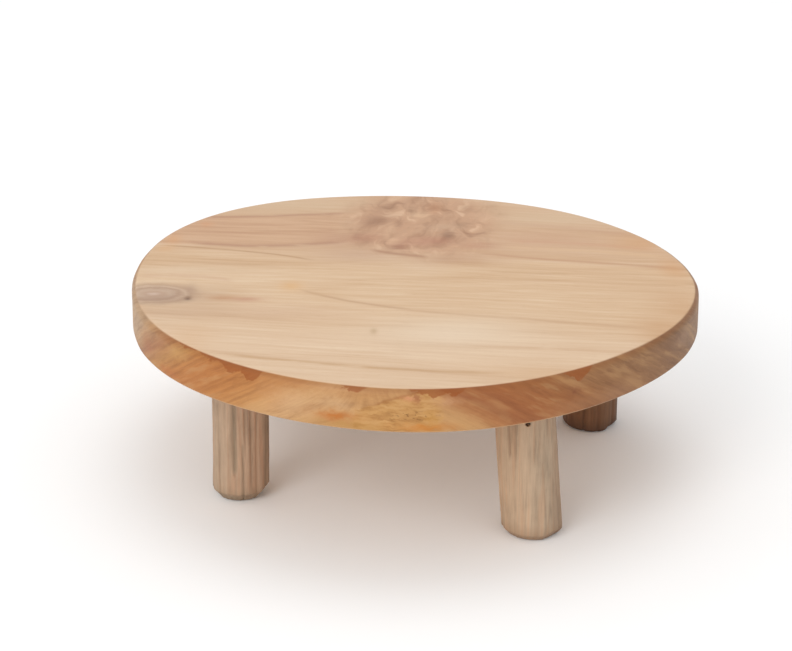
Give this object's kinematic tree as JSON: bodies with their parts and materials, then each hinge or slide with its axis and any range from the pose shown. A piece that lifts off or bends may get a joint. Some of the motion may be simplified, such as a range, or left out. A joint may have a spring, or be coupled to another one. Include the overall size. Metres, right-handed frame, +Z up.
{
  "type": "cake stand",
  "caption": "Low rustic cake stand: a thick round wooden board with rounded edges on hewn branch legs.",
  "frame": {"origin": "on the table under the middle of the board's extents", "axes": "+Z up through the board, -Y towards the front, +X to the right as seen from the front"},
  "size_m": [0.2969, 0.297, 0.1],
  "materials": {
    "top_wood": "sanded, clear satin oil",
    "leg_wood": "hewn, weathered grey-brown, unvarnished",
    "dowel_wood": "turned, glued",
    "brad_steel": "dark, slightly rusted"
  },
  "bodies": {
    "root": {"top_board": "top_wood", "leg_front_left": "leg_wood", "leg_front_right": "leg_wood", "leg_back_right": "leg_wood", "leg_back_left": "leg_wood", "dowel_front_left": "dowel_wood", "dowel_front_right": "dowel_wood", "dowel_back_right": "dowel_wood", "dowel_back_left": "dowel_wood", "brad_front_left": "brad_steel", "brad_front_right": "brad_steel", "brad_back_right": "brad_steel", "brad_back_left": "brad_steel"}
  },
  "joints": []
}
